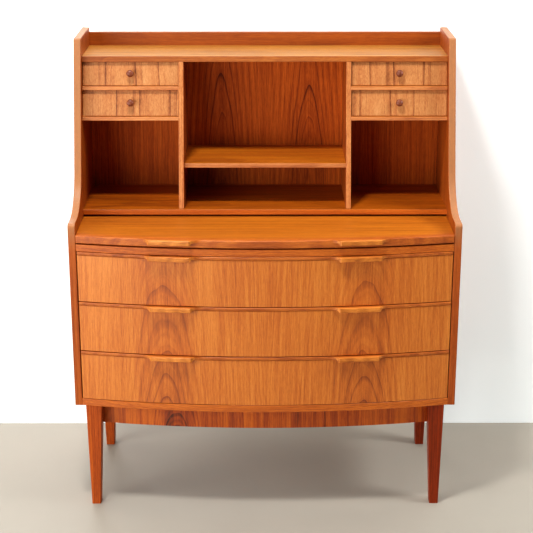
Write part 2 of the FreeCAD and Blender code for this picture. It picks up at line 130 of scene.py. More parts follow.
# Bands follow the rings.  The other soft marks lie along the grain: each has its length as a
# multiple of its width, and the detail and roughness of its noise.
BAND_NOISE = {"Scale": 1.0, "Detail": 4.0, "Roughness": 0.65}
SOFT_MARKS = {
    "streak": (60, 3.0, 0.62),
    "ribbon": (30, 2.0, 0.55),
    "cloud": (2.2, 1.0, 0.5),
    "fleck": (10, 3.0, 0.65),
}
MIDDLE = 0.5                     # a mark lightens below this and darkens above it
COLOUR_STOPS = (0.22, 0.42, 0.60, 0.92)  # where a wood's four colours stand, from pale to dark

# Open pores: short dark dashes along the grain, in millimetres.  Real ones are a quarter of a
# millimetre wide; these are drawn twice as wide so that they show.
PORE_WIDTH = 0.6
PORE_LENGTH = 10.0
PORE_NOISE = (2.0, 0.6)          # detail and roughness
PORE_EDGE = (0.32, 0.41)         # a pore is deep below the first and ends at the second
RELIEF_DEPTH = 0.12 * MM

# Streaks are rougher than the wood between them: most of the noise lies in the first range, and
# changes the wood's roughness by the second.
STREAK_RANGE = (0.3, 0.7)
GLOSS_CHANGE = (-0.05, 0.06)
WOOD_IOR = 1.5


def grain(tree, wood, along, centre, mirrored, seed):
    """Colour, roughness and height of sawn wood, in millimetres, with its grain along one axis.

    The figure is that of rings about a pith that leans away from the surface, so a face cut near
    the middle of the leaf shows tall arches, and the rest of it shows straight lines.  The seed
    moves to another place in the tree.
    """
    place = add(tree, "TexCoord").outputs["Object"]
    place = add(tree, "VectorMath", {0: place, 3: 1 / MM}, operation="SCALE")
    parts = add(tree, "SeparateXYZ", {0: place})
    across, depth, length = (parts.outputs[axis] for axis in AXES[along])
    local = add(tree, "CombineXYZ", {0: across, 1: depth, 2: length})
    shift = [seed * step for step in SEED_STEP]
    local = add(tree, "VectorMath", {0: local, 1: shift}, operation="ADD")

    def marks(width, run, detail=2.0, roughness=0.5):
        """Soft marks of one width across the grain and another length along it."""
        size = (1 / width, 1 / width, 1 / run)
        stretched = add(tree, "VectorMath", {0: local, 1: size}, operation="MULTIPLY")
        inputs = {"Vector": stretched, "Scale": 1.0, "Detail": detail, "Roughness": roughness}
        return add(tree, "TexNoise", inputs)

    # Distance from the pith.
    if mirrored:
        across = add(tree, "Math", {0: across}, operation="ABSOLUTE")
    aside = add(tree, "Math", {0: across, 1: centre[0]}, operation="SUBTRACT")
    aside = add(tree, "Math", {0: aside}, operation="ABSOLUTE")
    along_cut = add(tree, "Math", {0: length, 1: centre[1]}, operation="SUBTRACT")
    pith = add(tree, "Math", {0: along_cut, 1: wood["lean"], 2: wood["pith"]}, operation="MULTIPLY_ADD")
    pith = add(tree, "Math", {0: depth, 1: wood["depth"], 2: pith}, operation="MULTIPLY_ADD")
    pith = add(tree, "Math", {0: pith}, operation="ABSOLUTE")
    blunt = wood["blunt"]
    sideways = add(tree, "Math", {0: aside, 1: blunt}, operation="POWER")
    inwards = add(tree, "Math", {0: pith, 1: blunt}, operation="POWER")
    radius = add(tree, "Math", {0: sideways, 1: inwards}, operation="ADD")
    radius = add(tree, "Math", {0: radius, 1: 1 / blunt}, operation="POWER")

    # The tree wandered as it grew, which bends the rings.
    bend = marks(wood["wander_width"], wood["wander_run"])
    bend = add(tree, "Math", {0: bend, 1: MIDDLE}, operation="SUBTRACT")
    bend = add(tree, "Math", {0: bend, 1: wood["wander"]}, operation="MULTIPLY")
    radius = add(tree, "Math", {0: radius, 1: bend}, operation="ADD")

    # Late-wood lines, which fade away from the arches.
    turn = add(tree, "Math", {0: radius, 1: wood["ring"]}, operation="DIVIDE")
    late = add(tree, "ValToRGB", {0: add(tree, "Math", {0: turn}, operation="FRACT")})
    fill_ramp(late, [(position, grey(darkness)) for position, darkness in RING])
    ring_number = add(tree, "Math", {0: turn}, operation="FLOOR")
    strength = add(tree, "TexWhiteNoise", {"W": ring_number}, noise_dimensions="1D")
    strength = add(tree, "Math", {0: strength, 1: FEW_STRONG}, operation="POWER")
    line = add(tree, "Math", {0: late, 1: strength}, operation="MULTIPLY")
    fade = {0: aside, 1: ARCH_CORE * wood["crown"], 2: wood["crown"], 3: 1.0, 4: wood["straight"]}
    arches = add(tree, "MapRange", fade, interpolation_type="SMOOTHSTEP")
    line = add(tree, "Math", {0: line, 1: arches}, operation="MULTIPLY")
    total = add(tree, "Math", {0: line, 1: wood["line_mix"], 2: MIDDLE}, operation="MULTIPLY_ADD")

    # Soft marks, each by the wood's own share of it.
    band = add(tree, "Math", {0: radius, 1: wood["band"]}, operation="DIVIDE")
    band = add(tree, "TexNoise", {"W": band, **BAND_NOISE}, noise_dimensions="1D")
    soft = {"heart": arches, "band": band}
    for mark, (run, detail, roughness) in SOFT_MARKS.items():
        soft[mark] = marks(wood[mark], wood[mark] * run, detail, roughness)
    for mark, value in soft.items():
        value = add(tree, "Math", {0: value, 1: MIDDLE}, operation="SUBTRACT")
        share = wood[mark + "_mix"]
        total = add(tree, "Math", {0: value, 1: share, 2: total}, operation="MULTIPLY_ADD")
    colours = add(tree, "ValToRGB", {0: total})
    fill_ramp(colours, [(stop, linear(colour)) for stop, colour in zip(COLOUR_STOPS, wood["colours"])])

    pores = add(tree, "ValToRGB", {0: marks(PORE_WIDTH, PORE_LENGTH, *PORE_NOISE)})
    fill_ramp(pores, [(PORE_EDGE[0], grey(1.0)), (PORE_EDGE[1], grey(0.0))])
    pore = add(tree, "Math", {0: pores, 1: wood["pore_mix"]}, operation="MULTIPLY")
    inputs = {0: pore, 6: colours, 7: linear(wood["pore_colour"])}
    colour = add(tree, "Mix", inputs, data_type="RGBA").outputs[2]
    smoothest, roughest = (wood["rough"] + change for change in GLOSS_CHANGE)
    gloss = {0: soft["streak"], 1: STREAK_RANGE[0], 2: STREAK_RANGE[1], 3: smoothest, 4: roughest}
    rough = add(tree, "MapRange", gloss)
    height = add(tree, "Math", {0: soft["streak"], 1: pores}, operation="SUBTRACT")
    return colour, rough, height


def finish_wood(tree, colour, rough, height, wood):
    """Oiled surface: the wood's own gloss, a thin oil film over it, and open pores in relief."""
    relief = {"Height": height, "Strength": wood["relief"], "Distance": RELIEF_DEPTH}
    shader = add(tree, "BsdfPrincipled", {
        "Base Color": colour,
        "Roughness": rough,
        "Normal": add(tree, "Bump", relief),
        "IOR": WOOD_IOR,
        "Specular IOR Level": wood["specular"],
        "Coat Weight": wood["oil"],
        "Coat Roughness": wood["oil_rough"],
    })
    add(tree, "OutputMaterial", {"Surface": shader})


FACES_FRONT = -0.45              # a lipped front edge's normal along Y is under this
FACES_SIDE = 0.5                 # an upright panel's broad face's normal along X is over this
LIPPING_CENTRE = (60.0, 0.0)     # where a lipping's grain is centred, in millimetres
SHEEN_AND_WEAR_WOOD = "#B28860"            # pale and greyish: painted sheen on the leaning hutch edges, with some wear
SHEEN_AND_WEAR_SHARE = 0.6
SHEEN_AND_WEAR_FROM, SHEEN_AND_WEAR_TO = 0.70, 0.80  # heights between which the painted sheen and wear come in, in metres
GRIP_HIGHLIGHT_FROM, GRIP_HIGHLIGHT_TO = 3 * MM, 8 * MM  # how far proud of the bow the painted highlight on the grips comes in


def painted_grip_highlight(tree, colour, highlight_colour):
    """One colour on the bow, and a painted highlight colour where the wood stands well proud of it, on the
    grips.
    """
    place = add(tree, "TexCoord").outputs["Object"]
    flat = add(tree, "VectorMath", {0: place, 1: (1.0, 1.0, 0.0)}, operation="MULTIPLY")
    reach = add(tree, "VectorMath", {0: flat, 1: bow_axis}, operation="DISTANCE").outputs["Value"]
    proud = {0: reach, 1: bow_radius + GRIP_HIGHLIGHT_FROM, 2: bow_radius + GRIP_HIGHLIGHT_TO}
    proud = add(tree, "MapRange", proud, interpolation_type="SMOOTHSTEP")
    return add(tree, "Mix", {0: proud, 6: colour, 7: highlight_colour}, data_type="RGBA").outputs[2]


def lipped_front(tree, colour, lip):
    """Veneer on the faces, and a solid lipping on the front edge."""
    facing = add(tree, "SeparateXYZ", {0: add(tree, "TexCoord").outputs["Normal"]}).outputs["Y"]
    lipped = add(tree, "Math", {0: facing, 1: FACES_FRONT}, operation="LESS_THAN")
    return add(tree, "Mix", {0: lipped, 6: colour, 7: lip}, data_type="RGBA").outputs[2]


def lipped_all_round(tree, colour, lip):
    """Veneer on the faces of an upright panel, and a lipping round it, paled above the writing board by
    painted sheen and some wear.
    """
    places = add(tree, "TexCoord")
    facing = add(tree, "SeparateXYZ", {0: places.outputs["Normal"]}).outputs["X"]
    facing = add(tree, "Math", {0: facing}, operation="ABSOLUTE")
    lipped = add(tree, "Math", {0: facing, 1: FACES_SIDE}, operation="LESS_THAN")
    height = add(tree, "SeparateXYZ", {0: places.outputs["Object"]}).outputs["Z"]
    sheen_and_wear = {0: height, 1: SHEEN_AND_WEAR_FROM, 2: SHEEN_AND_WEAR_TO, 3: 0.0, 4: SHEEN_AND_WEAR_SHARE}
    sheen_and_wear = add(tree, "MapRange", sheen_and_wear, interpolation_type="SMOOTHSTEP")
    lip = add(tree, "Mix", {0: sheen_and_wear, 6: lip, 7: linear(SHEEN_AND_WEAR_WOOD)}, data_type="RGBA").outputs[2]
    return add(tree, "Mix", {0: lipped, 6: colour, 7: lip}, data_type="RGBA").outputs[2]


def wood_material(name, wood, along, centre=(0.0, 0.0), mirrored=False, seed=0.0,
                  front_lip=None, panel_lip=None, grip_highlight=None):
    """Wood with its grain along one axis, and the wood of its lipping or the painted highlight of its
    grips, if any.

    Centre is where the arches stand, in millimetres across and along the grain.
    """
    material, tree = new_material(name)
    colour, rough, height = grain(tree, wood, along, centre, mirrored, seed)
    if grip_highlight:
        colour = painted_grip_highlight(tree, colour, grain(tree, grip_highlight, along, centre, mirrored, seed)[0])
    lip = front_lip or panel_lip
    if lip:
        lip_colour = grain(tree, lip, along, LIPPING_CENTRE, False, seed + 0.5)[0]
        put_lip = lipped_front if front_lip else lipped_all_round
        colour = put_lip(tree, colour, lip_colour)
    finish_wood(tree, colour, rough, height, wood)
    return material


# Teak is golden brown with darker late wood; hand-rubbed oil leaves it satin and warms it with
# age.  Widths of marks are in millimetres, and each mix says how much that mark darkens or
# lightens the wood.  Pith is how deep the pith lies, lean how fast the cut leaves it, blunt how
# blunt the arches are, crown their half width, and straight how strong the lines beside them are.
# Flecks are drawn a few times as wide as real ones so that they show.
TEAK = {
    "colours": ("#E08A30", "#D27A24", "#C1661B", "#864012"),
    "pore_colour": "#6E3610", "pore_mix": 0.30,
    "ring": 4.2, "line_mix": 0.42, "band": 4.0, "band_mix": 0.55,
    "streak": 2.6, "streak_mix": 0.55, "ribbon": 14.0, "ribbon_mix": 0.40,
    "cloud": 170.0, "cloud_mix": 0.25, "fleck": 2.2, "fleck_mix": 0.5,
    "pith": 60.0, "lean": 0.03, "depth": 0.0, "blunt": 2.4,
    "crown": 110.0, "straight": 0.35, "heart_mix": 0.0,
    "wander": 12.0, "wander_width": 60.0, "wander_run": 260.0,
    "rough": 0.44, "relief": 0.35, "specular": 0.5, "oil": 0.05, "oil_rough": 0.25,
}


def teak(*colours, **changes):
    """The oiled teak in four colours, from pale to dark, with some other values changed."""
    return {**TEAK, "colours": colours, **changes}


def solid_teak(*colours, **changes):
    """Teak sawn far from the pith, so that its grain is quiet and straight."""
    return teak(*colours, **{"line_mix": 0.2, "pith": 90.0, "lean": 0.02, **changes})


# Crown-cut veneer on the long fronts: arches centred on each half, book-matched about the middle.
FRONT_VENEER = teak(
    "#E28D39", "#D47C2A", "#C2661A", "#8A3D0F", line_mix=0.4, pith=64.0, lean=0.13, blunt=2.0,
    crown=95.0, straight=0.2, heart_mix=0.12, band=7.0, band_mix=0.4, streak=2.4, streak_mix=0.5,
    ribbon_mix=0.45, specular=0.65,
)
fronts = wood_material(
    "teak_crown_cut_veneer", FRONT_VENEER, "z", centre=(258.0, 300.0), mirrored=True
)

# Straight-grained veneer lengthwise on the boards, each with a lipping; the top is paler by a painted
# sheen, and the hutch floor darker by painted shade.
BOARD_MARKS = dict(line_mix=0.22, band_mix=0.45, streak_mix=0.5, ribbon_mix=0.5, pith=160.0, lean=0.01)
BOARD_VENEER = teak("#D0801C", "#C27016", "#AE5E10", "#7C3C0C", **BOARD_MARKS)
# Painted shade: the hutch floor is coloured darker for the shade inside the hutch.
SHADED_FLOOR_VENEER = teak("#C26C0E", "#B25E08", "#9A4C04", "#682C02", **BOARD_MARKS)
SHEEN_TOP_VENEER = teak("#CA8C3E", "#BC7E34", "#A86C28", "#784216", **BOARD_MARKS)
TOP_EDGE = solid_teak("#C07632", "#B0662A", "#9A5220", "#682E0E", line_mix=0.25)
SOLID = solid_teak("#DC7C26", "#CC6E1E", "#B65A16", "#80380E", line_mix=0.25, depth=1.0)
# Pale pinkish lipping for the leaning front edges of the shelves and uprights: painted sheen.
SHEEN_PALE_SOLID = solid_teak("#DC965C", "#CE864E", "#BA703E", "#844626")
BOARD_CENTRE = (40.0, 0.0)
boards = wood_material(
    "teak_lengthwise_veneer", BOARD_VENEER, "x", BOARD_CENTRE, seed=1.0, front_lip=SOLID
)
shaded_hutch_floors = wood_material(
    "teak_hutch_floor_painted_shade", SHADED_FLOOR_VENEER, "x", BOARD_CENTRE, seed=1.2, front_lip=SOLID
)
tops = wood_material("teak_top_veneer", SHEEN_TOP_VENEER, "x", BOARD_CENTRE, seed=1.8, front_lip=TOP_EDGE)
shelves = wood_material(
    "teak_shelf_veneer", BOARD_VENEER, "x", BOARD_CENTRE, seed=1.5, front_lip=SHEEN_PALE_SOLID
)

# Solid teak of the rail, of the strips on the drawers and of the writing board's edge: even and warm; the
# grips of the last two are golden with a painted highlight, and the strips darker with painted shade.
# Painted shade: the strips are coloured darker for the shadow under the drawer fronts above them.
SHADED_STRIP_TEAK = solid_teak("#D07830", "#C06A24", "#AA561A", "#76340E")
BOARD_EDGE = solid_teak("#D67A2E", "#C66C24", "#B0581A", "#7C380E")
# Painted highlight: the paler colour of the grips' lips, which catch the light.
GRIP_HIGHLIGHT_TEAK = solid_teak("#EE9A44", "#DC8836", "#C47226", "#8E4614")
lippings = wood_material("teak_solid_lipping", SOLID, "x", LIPPING_CENTRE, seed=2.0)
strips = wood_material("teak_grip_strips", SHADED_STRIP_TEAK, "x", LIPPING_CENTRE, seed=2.4, grip_highlight=GRIP_HIGHLIGHT_TEAK)
board_edge = wood_material(
    "teak_board_edge", BOARD_EDGE, "x", LIPPING_CENTRE, seed=2.6, grip_highlight=GRIP_HIGHLIGHT_TEAK
)

# Solid teak of the legs, dry and dull; the right-hand pair is coloured darker.
LEG_MARKS = dict(line_mix=0.3, pith=80.0, lean=0.03, depth=1.0, specular=0.3, oil=0.0)
LEG = teak("#CE6A24", "#BE5A1C", "#A84A14", "#6A2A0A", **LEG_MARKS)
DARK_LEG = teak("#A43E08", "#923206", "#7C2A05", "#4A1602", **LEG_MARKS)
legs = wood_material("teak_legs", LEG, "z", centre=(60.0, 0.0), seed=7.0)
dark_legs = wood_material("darker_teak_legs", DARK_LEG, "z", centre=(-40.0, 0.0), seed=7.5)

# Solid teak of the rail behind the top, quiet and even.
GALLERY = teak("#B8621E", "#A85618", "#964812", "#68300C", lean=0.01, line_mix=0.2)
gallery = wood_material("teak_gallery", GALLERY, "x", centre=(1100.0, 0.0), seed=2.7)

# Wild-figured veneer on the aprons, with a dark heart near one end.
APRON_VENEER = teak(
    "#D06C18", "#BC5810", "#A0420A", "#4E1E06", line_mix=0.55, ring=9.0, pith=30.0, lean=0.25,
    cloud_mix=0.6, ribbon_mix=0.9, heart_mix=0.25, crown=60.0,
)
aprons = wood_material("teak_apron_veneer", APRON_VENEER, "z", centre=(-235.0, 240.0), seed=4.0)

# Thin veneer on the hutch's back: redder, with tall arches, and left dry, so it is nearly matt.
BACK_VENEER = teak(
    "#DA7626", "#C6641C", "#AC5014", "#6C2C08", line_mix=0.5, pith=38.0, lean=0.075, blunt=1.7,
    crown=75.0, straight=0.25, heart_mix=0.1, band=7.0, band_mix=0.5, rough=0.6, specular=0.2, oil=0.0,
)
backs = wood_material(
    "teak_back_veneer", BACK_VENEER, "z", centre=(120.0, 700.0), mirrored=True, seed=6.0
)

# Plain, dull brown veneer on the sides and uprights, with brighter solid lippings; the uprights' pale
# pinkish ones are painted sheen.
SIDE_VENEER = teak(
    "#B66420", "#A65418", "#924410", "#5E2C0A", line_mix=0.5, lean=0.05, specular=0.35, oil=0.0
)
SIDE_EDGE = solid_teak("#C86E2A", "#B85E20", "#A44E18", "#722E0E", line_mix=0.25)
uprights = wood_material(
    "teak_upright_veneer", SIDE_VENEER, "z", centre=(90.0, 0.0), seed=5.0, front_lip=SHEEN_PALE_SOLID
)
side_faces = wood_material("teak_side_veneer", SIDE_VENEER, "z", seed=8.0, panel_lip=SIDE_EDGE)

# Leaves on the small fronts, pale and pinkish by a painted sheen, with a few dark lines, no two alike.
SHEEN_SMALL_VENEER = teak(
    "#DA9E68", "#CC8C54", "#BC7642", "#783E1E", line_mix=0.6, streak_mix=0.45, ribbon=18.0,
    ribbon_mix=0.4, ring=15.0, straight=0.75, band_mix=0.3, pith=20.0,
)
LEAF_MIDDLE = 290.0              # the lower fronts' arches stand this far from the desk's middle
LEAF_STEP = 90.0                 # and the upper ones' this much further out
LEAF_HEIGHT = 1000.0
FIRST_SEED = 13.0
small_fronts = {}
for side, sign in SIDES.items():
    for step, row in enumerate(ROWS):
        name = f"teak_{side}_{row}_front_veneer"
        centre = (sign * (LEAF_MIDDLE + step * LEAF_STEP), LEAF_HEIGHT)
        seed = FIRST_SEED + step + 2 * sign
        small_fronts[side, row] = wood_material(name, SHEEN_SMALL_VENEER, "z", centre, seed=seed)

# Dark turned teak of the knobs, satin from handling.
knob_wood = wood_material(
    "dark_turned_teak", teak("#9A5436", "#874629", "#733820", "#4C2212"), "y", seed=9.0
)

# Oak of the drawer boxes: pale straw with darker open pores, and dry.
OAK = teak(
    "#D9B987", "#CDA872", "#C0975F", "#A37A48", line_mix=0.25, pore_colour="#8B6336",
    rough=0.5, oil=0.0, specular=0.4,
)
oak = wood_material("oak_drawer_sides", OAK, "y", seed=10.0)

# Planed beech of the runners, blocks and stops: even, pale and close-pored.
BEECH = teak(
    "#DDBB8C", "#D3AC7A", "#C79C69", "#B58856", line_mix=0.1, pore_mix=0.15, rough=0.5, oil=0.0
)
beech = wood_material("beech_runners", BEECH, "y", seed=11.0)

# Rotary-cut birch plywood of the drawer bottoms and the chest's back: pale, with a soft wave.
PLYWOOD = teak("#D8B482", "#CBA26D", "#BF945F", "#A67A48", line_mix=0.35, rough=0.52, oil=0.0)
plywood = wood_material("birch_plywood", PLYWOOD, "x", seed=12.0)


# ---------------------------------------------------------------- steel
STEEL_STREAKS = 900.0            # a metre, so each is about a millimetre across
STEEL_ROUGH = (0.28, 0.42)


def plated_steel():
    """Zinc-plated steel: bright grey, slightly streaked by the plating."""
    material, tree = new_material("zinc_plated_steel")
    place = add(tree, "TexCoord").outputs["Object"]
    streaks = add(tree, "TexNoise", {"Vector": place, "Scale": STEEL_STREAKS, "Detail": 2.0})
    rough = add(tree, "MapRange", {0: streaks, 3: STEEL_ROUGH[0], 4: STEEL_ROUGH[1]})
    metal = {"Base Color": linear("#B4B4B2"), "Metallic": 1.0, "Roughness": rough}
    add(tree, "OutputMaterial", {"Surface": add(tree, "BsdfPrincipled", metal)})
    return material


steel = plated_steel()


# ---------------------------------------------------------------- finishes of the CAD pieces
def dress(material, *names):
    """Give CAD nodes a material."""
    for name in names:
        for slot in nodes[name].material_slots:
            slot.material = material


dress(side_faces, "side_panel_left", "side_panel_right")
dress(boards, "writing_board", "bottom_board")
dress(shaded_hutch_floors, "hutch_floor")
dress(tops, "top_board")
dress(shelves, "centre_shelf", *(f"dust_board_{side}_{row}" for side in SIDES for row in ROWS))
dress(uprights, "divider_left", "divider_right")
dress(lippings, "front_rail")
dress(board_edge, "writing_board_edge")
dress(gallery, "gallery_rail")
dress(legs, "leg_front_left", "leg_rear_left")
dress(dark_legs, "leg_front_right", "leg_rear_right")
dress(aprons, "front_apron", "rear_apron", "side_apron_left", "side_apron_right")
dress(backs, "hutch_back")
dress(plywood, "lower_back")
dress(beech, "board_guide_left", "board_guide_right", "drawer_runners_left", "drawer_runners_right")
dress(beech, "corner_blocks", "writing_board_stops")
dress(steel, "base_screws")
for level in LEVELS:
    dress(fronts, f"long_drawer_{level}_front")
    dress(strips, f"long_drawer_{level}_strip")
    dress(oak, f"long_drawer_{level}_box")
    dress(plywood, f"long_drawer_{level}_bottom")
for side in SIDES:
    for row in ROWS:
        dress(small_fronts[side, row], f"small_drawer_{side}_{row}_front")
        dress(oak, f"small_drawer_{side}_{row}_box")
        dress(knob_wood, f"small_drawer_{side}_{row}_knob")


# ---------------------------------------------------------------- making pieces
def select_only(piece):
    """Make one piece the only one that operators act on."""
    bpy.ops.object.select_all(action="DESELECT")
    piece.select_set(True)
    bpy.context.view_layer.objects.active = piece


def pick(kind, test):
    """In edit mode, select just the vertices, edges or faces whose middle passes a test."""
    bpy.ops.mesh.select_mode(type=kind)
    bpy.ops.mesh.select_all(action="DESELECT")
    mesh = bpy.context.object.data
    shape = bmesh.from_edit_mesh(mesh)
    for item in {"VERT": shape.verts, "EDGE": shape.edges, "FACE": shape.faces}[kind]:
        if kind == "VERT":
            middle = item.co
        elif kind == "EDGE":
            middle = (item.verts[0].co + item.verts[1].co) / 2
        else:
            middle = item.calc_center_median()
        if test(middle):
            item.select_set(True)
    bmesh.update_edit_mesh(mesh)


def section(name, forward, rear, low, high):
    """Upright plane across the middle of the bow, from forward to rear of its surface, in edit mode."""
    bpy.ops.object.select_all(action="DESELECT")
    middle = (0, bow_front + (rear - forward) / 2, (low + high) / 2)
    bpy.ops.mesh.primitive_plane_add(size=1, location=middle, rotation=(0, math.pi / 2, 0))
    piece = bpy.context.object
    piece.name = name
    piece.scale = (high - low, forward + rear, 1)
    bpy.ops.object.transform_apply()
    bpy.ops.object.mode_set(mode="EDIT")
    return piece


def round_corner(y, z, radius, segments=5):
    """Round the section's corner at a place."""
    pick("VERT", lambda co: abs(co.y - y) < CLOSE and abs(co.z - z) < CLOSE)
    bpy.ops.mesh.bevel(affect="VERTICES", offset=radius, segments=segments, offset_type="OFFSET")


def sweep(half_width, steps):
    """Turn the whole section about the bow's axis, half_width each way."""
    reach = math.asin(half_width / bow_radius)
    bpy.ops.mesh.select_all(action="SELECT")
    bpy.ops.transform.rotate(value=reach, orient_axis="Z", center_override=bow_axis)
    bpy.ops.mesh.spin(steps=steps, angle=-2 * reach, center=bow_axis, axis=(0, 0, 1))


def trim(half_width):
    """Saw both ends square to the side panels."""
    for side in SIDES.values():
        end = {"plane_co": (side * half_width, 0, 0), "plane_no": (side, 0, 0)}
        bpy.ops.mesh.select_all(action="SELECT")
        bpy.ops.mesh.bisect(**end, clear_outer=True, use_fill=True)


def leave_edit():
    """Turn every face outwards and leave edit mode."""
    bpy.ops.mesh.select_all(action="SELECT")
    bpy.ops.mesh.remove_doubles(threshold=MERGE)
    bpy.ops.mesh.normals_make_consistent(inside=False)
    bpy.ops.object.mode_set(mode="OBJECT")


def modify(piece, kind, **settings):
    """Add a modifier and apply it."""
    select_only(piece)
    modifier = piece.modifiers.new(kind.lower(), kind)
    for name, value in settings.items():
        setattr(modifier, name, value)
    bpy.ops.object.modifier_apply(modifier=modifier.name)


def smooth(piece, angle=35.0):
    """Shade the rounds smooth and keep the broad faces flat."""
    select_only(piece)
    bpy.ops.object.shade_smooth_by_angle(angle=math.radians(angle))
    modify(piece, "WEIGHTED_NORMAL", keep_sharp=True, weight=80)


def soften(piece, width, segments=3):
    """Break the sharp arrises."""
    sharp = math.radians(35)
    modify(piece, "BEVEL", width=width, segments=segments, limit_method="ANGLE", angle_limit=sharp)


def copy_of(piece, name):
    """A twin with a mesh of its own."""
    twin = piece.copy()
    twin.data = piece.data.copy()
    twin.name = name
    bpy.context.scene.collection.objects.link(twin)
    return twin


def slide_along_bow(piece, turn=0.0, rise=0.0):
    """Move a piece along the bow by an angle and up by a height, in its mesh."""
    select_only(piece)
    bpy.ops.object.mode_set(mode="EDIT")
    bpy.ops.mesh.select_all(action="SELECT")
    bpy.ops.transform.rotate(value=turn, orient_axis="Z", center_override=bow_axis)
    bpy.ops.transform.translate(value=(0, 0, rise))
    bpy.ops.object.mode_set(mode="OBJECT")


def fit(piece, body, slot, material, *replaced):
    """Give a finished piece its finish, its body and the CAD nodes that it stands for."""
    piece.data.materials.clear()
    piece.data.materials.append(material)
    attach(piece, body)
    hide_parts(*replaced)


# ---------------------------------------------------------------- long drawer fronts
FRONT_THICKNESS = 17 * MM
FRONT_ARRIS = 0.8 * MM
BOW_STEPS = 64


def bowed_band(name, thickness, low, high, half_width, arris):
    """Lamination bent to the bow."""
    band = section(name, 0, thickness, low, high)
    sweep(half_width + 2 * thickness, BOW_STEPS)
    trim(half_width)
    leave_edit()
    soften(band, arris)
    smooth(band)
    return band


for level in LEVELS:
    node = f"long_drawer_{level}_front"
    low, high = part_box(node)
    piece = bowed_band(f"{level}_drawer_front", FRONT_THICKNESS, low.z, high.z, high.x, FRONT_ARRIS)
    fit(piece, f"long_drawer_{level}", "front_veneer", fronts, node)

# ---------------------------------------------------------------- strips with finger grips
STRIP_PROUD = 1.5 * MM           # the strips stand this proud of the bow
STRIP_HEIGHT = 9.5 * MM
STRIP_ROUNDS = (2.5 * MM, 3.5 * MM)  # of the front arrises, above and below
BOARD_EDGE_DEPTH = 22 * MM
BOARD_EDGE_ROUNDS = (3.0 * MM, 2.0 * MM)

GRIP_CENTRE = 241 * MM           # from the middle of the desk
GRIP_REACH = 13 * MM
GRIP_HEIGHT = 12.5 * MM
GRIP_ROOT = 3 * MM               # how far the grip reaches into its strip
GRIP_STEPS = 16
LIP_HALF = 50 * MM               # half the straight lip
LIP_WING = 30 * MM               # each end blends back over this length
LIP_THICKNESS = 7 * MM
LIP_ROUND = 3.0 * MM
NOSE_THICKNESS = 3.6 * MM        # the nose hangs down from the lip's front
NOSE_ROUND = 1.4 * MM
HOLLOW_ROUND = 3.5 * MM
WING_BITE = 0.4 * MM             # how deep the end sweeps cut into the strip's face
WING_FACETS = 128
GRIP_ARRIS = 0.5 * MM


def sweep_back(grip, side, top):
    """Cut one end of a grip with an upright round cutter, so that it blends back into the strip."""
    rise = GRIP_REACH - STRIP_PROUD + WING_BITE
    radius = (LIP_WING ** 2 + rise ** 2) / (2 * rise)
    angle = side * (LIP_HALF + LIP_WING) / bow_radius
    out = bow_radius + STRIP_PROUD - WING_BITE + radius
    centre = bow_axis + Vector((out * math.sin(angle), -out * math.cos(angle), top))
    size = {"vertices": WING_FACETS, "radius": radius, "depth": 4 * GRIP_HEIGHT}
    bpy.ops.object.select_all(action="DESELECT")
    bpy.ops.mesh.primitive_cylinder_add(**size, location=centre)
    cutter = bpy.context.object
    modify(grip, "BOOLEAN", object=cutter, operation="DIFFERENCE", solver="EXACT")
    bpy.data.objects.remove(cutter)


def finger_grip(top):
    """Carved lip with a hanging nose, hollow beneath, swept back at both ends."""
    front = bow_front - GRIP_REACH
    nose_back = front + NOSE_THICKNESS
    underside = top - LIP_THICKNESS
    foot = top - GRIP_HEIGHT
    grip = section("finger_grip", GRIP_REACH, GRIP_ROOT - STRIP_PROUD, underside, top)
    bpy.ops.mesh.select_all(action="SELECT")
    bpy.ops.mesh.bisect(plane_co=(0, nose_back, 0), plane_no=(0, 1, 0))
    pick("EDGE", lambda co: abs(co.z - underside) < CLOSE and co.y < nose_back - CLOSE)
    drop = {"value": (0, 0, foot - underside)}
    bpy.ops.mesh.extrude_region_move(TRANSFORM_OT_translate=drop)
    round_corner(front, top, LIP_ROUND)
    round_corner(front, foot, NOSE_ROUND)
    round_corner(nose_back, foot, NOSE_ROUND)
    round_corner(nose_back, underside, HOLLOW_ROUND)
    sweep(LIP_HALF + LIP_WING, GRIP_STEPS)
    leave_edit()
    for side in SIDES.values():
        sweep_back(grip, side, top)
    soften(grip, GRIP_ARRIS, 2)
    return grip


def gripped_strip(name, depth, low, top, half_width, rounds, grip):
    """Solid strip along the bow with two finger grips worked on it."""
    strip = section(name, STRIP_PROUD, depth - STRIP_PROUD, low, top)
    for height, radius in zip((top, low), rounds):
        round_corner(bow_front - STRIP_PROUD, height, radius)
    sweep(half_width + 2 * depth, BOW_STEPS)
    trim(half_width)
    leave_edit()
    for side in SIDES.values():
        worked = copy_of(grip, "worked_grip")
        slide_along_bow(worked, turn=side * math.asin(GRIP_CENTRE / bow_radius))
        modify(strip, "BOOLEAN", object=worked, operation="UNION", solver="EXACT")
        bpy.data.objects.remove(worked)
    return strip


_, strip_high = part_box("long_drawer_lower_strip")
strip_top, strip_end = strip_high.z, strip_high.x
strip_depth = FRONT_THICKNESS + STRIP_PROUD
strip_low = strip_top - STRIP_HEIGHT
grip = finger_grip(strip_top)
lowest_strip = gripped_strip(
    "lower_drawer_strip", strip_depth, strip_low, strip_top, strip_end, STRIP_ROUNDS, grip
)
for level in LEVELS:
    node = f"long_drawer_{level}_strip"
    piece = lowest_strip if level == "lower" else copy_of(lowest_strip, f"{level}_drawer_strip")
    slide_along_bow(piece, rise=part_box(node)[1].z - strip_top)
    smooth(piece)
    fit(piece, f"long_drawer_{level}", "solid_teak", strips, node)

